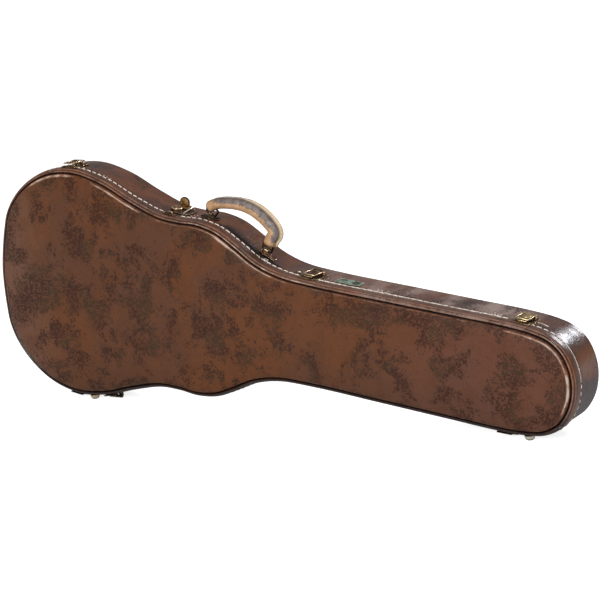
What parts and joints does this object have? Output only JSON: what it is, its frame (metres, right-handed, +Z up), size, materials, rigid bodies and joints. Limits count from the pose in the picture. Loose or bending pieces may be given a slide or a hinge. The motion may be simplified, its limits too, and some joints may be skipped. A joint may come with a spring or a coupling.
{
  "type": "electric guitar case",
  "caption": "Brown hardshell case shaped for an electric guitar, on its hinge side, with hinged lid, brass latches, lock, leather handle, glide feet and plush lining with accessory box.",
  "frame": {"origin": "on the floor under the middle of the case: halfway along it and halfway through its thickness", "axes": "+Z up; +X along the case towards its head end; +Y from the lid towards the back panel, so the lid faces -Y"},
  "size_m": [1.0784, 0.101, 0.4039],
  "materials": {
    "brown_covering": "satin",
    "plush_lining": "matte",
    "aged_brass": "satin",
    "tan_leather": "satin",
    "black_edge": "matte",
    "pale_label": "satin"
  },
  "bodies": {
    "base_shell": {"accessory_box": "plush_lining", "alignment_tongue": "black_edge", "back_panel": "brown_covering", "base_foot_butt": "aged_brass", "base_foot_head": "aged_brass", "base_wall": "brown_covering", "floor_pad": "plush_lining", "handle_bracket_butt": "aged_brass", "handle_bracket_head": "aged_brass", "hinge_bout_base_leaf": "aged_brass", "hinge_bout_pin": "aged_brass", "hinge_butt_base_leaf": "aged_brass", "hinge_butt_pin": "aged_brass", "hinge_head_base_leaf": "aged_brass", "hinge_head_pin": "aged_brass", "label_plate": "pale_label", "latch_butt_plate": "aged_brass", "latch_head_plate": "aged_brass", "latch_neck_plate": "aged_brass", "lining_bout_top": "plush_lining", "lining_bout_under": "plush_lining", "lining_butt": "plush_lining", "lining_head": "plush_lining", "lining_neck_top": "plush_lining", "lining_neck_under": "plush_lining", "lining_waist_top": "plush_lining", "lining_waist_under": "plush_lining", "lock_case": "aged_brass", "lock_plate": "aged_brass", "neck_support": "plush_lining", "strap_stud": "aged_brass"},
    "lid_shell": {"hinge_bout_lid_leaf": "aged_brass", "hinge_butt_lid_leaf": "aged_brass", "hinge_head_lid_leaf": "aged_brass", "latch_butt_catch": "aged_brass", "latch_head_catch": "aged_brass", "latch_neck_catch": "aged_brass", "lid_foot_butt": "aged_brass", "lid_foot_head": "aged_brass", "lid_pad": "plush_lining", "lid_panel": "brown_covering", "lid_wall": "brown_covering", "lock_catch": "aged_brass", "valance_band": "brown_covering"},
    "butt_latch_lever": {"latch_butt_lever": "aged_brass"},
    "neck_latch_lever": {"latch_neck_lever": "aged_brass"},
    "head_latch_lever": {"latch_head_lever": "aged_brass"},
    "flap": {"lock_flap": "aged_brass"},
    "key_plug": {"lock_plug": "aged_brass"},
    "handle": {"handle_grip": "tan_leather", "handle_loop_butt": "aged_brass", "handle_loop_head": "aged_brass"},
    "accessory_cover": {"accessory_lid": "plush_lining", "accessory_tab": "tan_leather"}
  },
  "joints": [
    {"name": "lid_hinge", "type": "hinge", "parent": "base_shell", "child": "lid_shell", "pos_m": [0, -0.0188, 0.0039], "axis": [1, 0, 0], "range_deg": [0, 105]},
    {"name": "butt_latch", "type": "hinge", "parent": "base_shell", "child": "butt_latch_lever", "pos_m": [-0.36626, 0.0015, 0.39904], "axis": [-0.9997, 0, 0.0228], "range_deg": [0, 100]},
    {"name": "neck_latch", "type": "hinge", "parent": "base_shell", "child": "neck_latch_lever", "pos_m": [0.09013, 0.0015, 0.22889], "axis": [-0.9872, 0, 0.1595], "range_deg": [0, 100]},
    {"name": "head_latch", "type": "hinge", "parent": "base_shell", "child": "head_latch_lever", "pos_m": [0.45333, 0.0015, 0.17762], "axis": [-0.9824, 0, 0.1868], "range_deg": [0, 100]},
    {"name": "lock_flap_hinge", "type": "hinge", "parent": "base_shell", "child": "flap", "pos_m": [-0.16584, 0.0096, 0.32382], "axis": [0.9834, 0, -0.1814], "range_deg": [-15, 88]},
    {"name": "key_turn", "type": "hinge", "parent": "base_shell", "child": "key_plug", "pos_m": [-0.17136, -0.003, 0.32422], "axis": [0.1814, 0, 0.9834], "range_deg": [-90, 90]},
    {"name": "handle_swing", "type": "hinge", "parent": "base_shell", "child": "handle", "pos_m": [-0.05409, -0.001, 0.28967], "axis": [0.8731, 0, -0.4876], "range_deg": [-48, 48]},
    {"name": "accessory_hinge", "type": "hinge", "parent": "base_shell", "child": "accessory_cover", "pos_m": [0.02168, 0.0084, 0.14849], "axis": [-0.134, 0, -0.991], "range_deg": [0, 14]}
  ]
}
